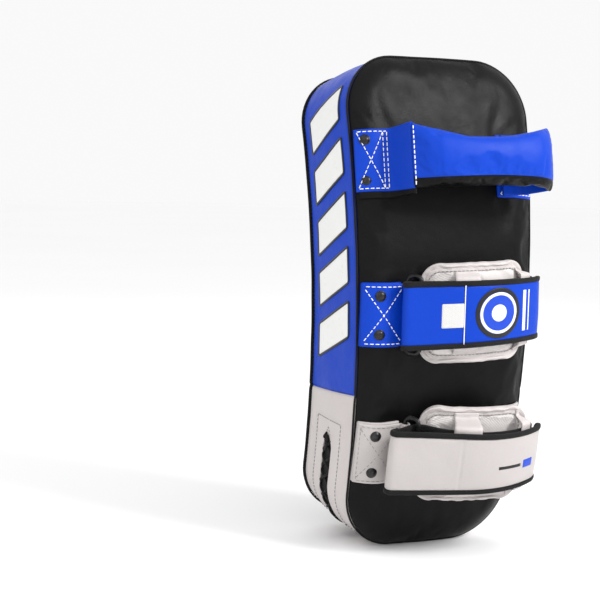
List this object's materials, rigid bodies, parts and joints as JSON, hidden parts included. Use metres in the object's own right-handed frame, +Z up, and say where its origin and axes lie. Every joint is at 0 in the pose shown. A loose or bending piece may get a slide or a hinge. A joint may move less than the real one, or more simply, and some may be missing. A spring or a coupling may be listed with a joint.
{
  "type": "thai pad",
  "caption": "Curved padded kick target held on the forearm by a grip handle and two ring-and-flap straps with cushions.",
  "frame": {"origin": "centre of the bounding box's underside", "axes": "+Z up along the pad, grip handle at the top; +Y out of the strike face; the straps face -Y and their rings are on the -X side"},
  "size_m": [0.1772, 0.1824, 0.4218],
  "materials": {
    "black_leather": "satin",
    "blue_leather": "satin",
    "white_leather": "satin",
    "black_webbing": "matte",
    "black_metal": "satin",
    "foam": "matte",
    "dense_foam": "matte",
    "label": "matte"
  },
  "bodies": {
    "pad": {"back_panel": "black_leather", "back_welt": "black_webbing", "closure_lace": "black_webbing", "core_foam": "dense_foam", "handle_anchor_left": "blue_leather", "handle_anchor_right": "blue_leather", "handle_core": "foam", "handle_cover": "blue_leather", "handle_lining": "black_leather", "handle_rivet_left_lower": "black_metal", "handle_rivet_left_upper": "black_metal", "handle_rivet_right_lower": "black_metal", "handle_rivet_right_upper": "black_metal", "handle_web_right": "blue_leather", "lace_tongue": "black_webbing", "lower_anchor_left": "white_leather", "lower_anchor_right": "white_leather", "lower_gusset": "white_leather", "lower_loop_pile": "black_webbing", "lower_ring_tab": "white_leather", "lower_rivet_left_lower": "black_metal", "lower_rivet_left_upper": "black_metal", "lower_rivet_right_lower": "black_metal", "lower_rivet_right_upper": "black_metal", "lower_strap_base": "black_webbing", "middle_anchor_left": "blue_leather", "middle_anchor_right": "blue_leather", "middle_loop_pile": "black_webbing", "middle_ring_tab": "blue_leather", "middle_rivet_left_lower": "black_metal", "middle_rivet_left_upper": "black_metal", "middle_rivet_right_lower": "black_metal", "middle_rivet_right_upper": "black_metal", "middle_strap_base": "black_webbing", "rear_foam": "foam", "strike_foam": "foam", "strike_panel": "black_leather", "strike_welt": "black_webbing", "upper_gusset": "blue_leather"},
    "lower_forearm_cushion": {"lower_cushion": "white_leather", "lower_keeper_left": "white_leather", "lower_keeper_right": "white_leather"},
    "lower_strap_flap": {"lower_flap": "white_leather", "lower_flap_binding": "black_webbing", "lower_hook_patch": "black_webbing"},
    "lower_wire_ring": {"lower_ring": "black_metal"},
    "middle_strap_flap": {"middle_badge": "black_webbing", "middle_flap": "blue_leather", "middle_flap_binding": "black_webbing", "middle_hook_patch": "black_webbing", "middle_label": "label"},
    "middle_forearm_cushion": {"middle_cushion": "white_leather", "middle_keeper_left": "white_leather", "middle_keeper_right": "white_leather"},
    "middle_wire_ring": {"middle_ring": "black_metal"}
  },
  "joints": [
    {"name": "middle_ring_swing", "type": "hinge", "parent": "pad", "child": "middle_wire_ring", "pos_m": [-0.045, -0.04628, 0.20544], "axis": [0, 0.0076, -1], "range_deg": [-3, 7]},
    {"name": "middle_flap_peel", "type": "hinge", "parent": "pad", "child": "middle_strap_flap", "pos_m": [-0.0531, -0.05608, 0.20536], "axis": [0, 0.0076, -1], "range_deg": [0, 75]},
    {"name": "middle_cushion_shift", "type": "hinge", "parent": "pad", "child": "middle_forearm_cushion", "pos_m": [0.0222, 0.01812, 0.20593], "axis": [0, 0.0076, -1], "range_deg": [-0.8, 0.8]},
    {"name": "lower_ring_swing", "type": "hinge", "parent": "pad", "child": "lower_wire_ring", "pos_m": [-0.04, -0.03549, 0.08723], "axis": [0, 0.1734, -0.9848], "range_deg": [-3, 20]},
    {"name": "lower_flap_peel", "type": "hinge", "parent": "pad", "child": "lower_strap_flap", "pos_m": [-0.0604, -0.05125, 0.08446], "axis": [0, 0.1734, -0.9848], "range_deg": [0, 75]},
    {"name": "lower_cushion_shift", "type": "hinge", "parent": "pad", "child": "lower_forearm_cushion", "pos_m": [0.0484, 0.05669, 0.10347], "axis": [0, 0.1734, -0.9848], "range_deg": [-0.6, 0.3]}
  ]
}
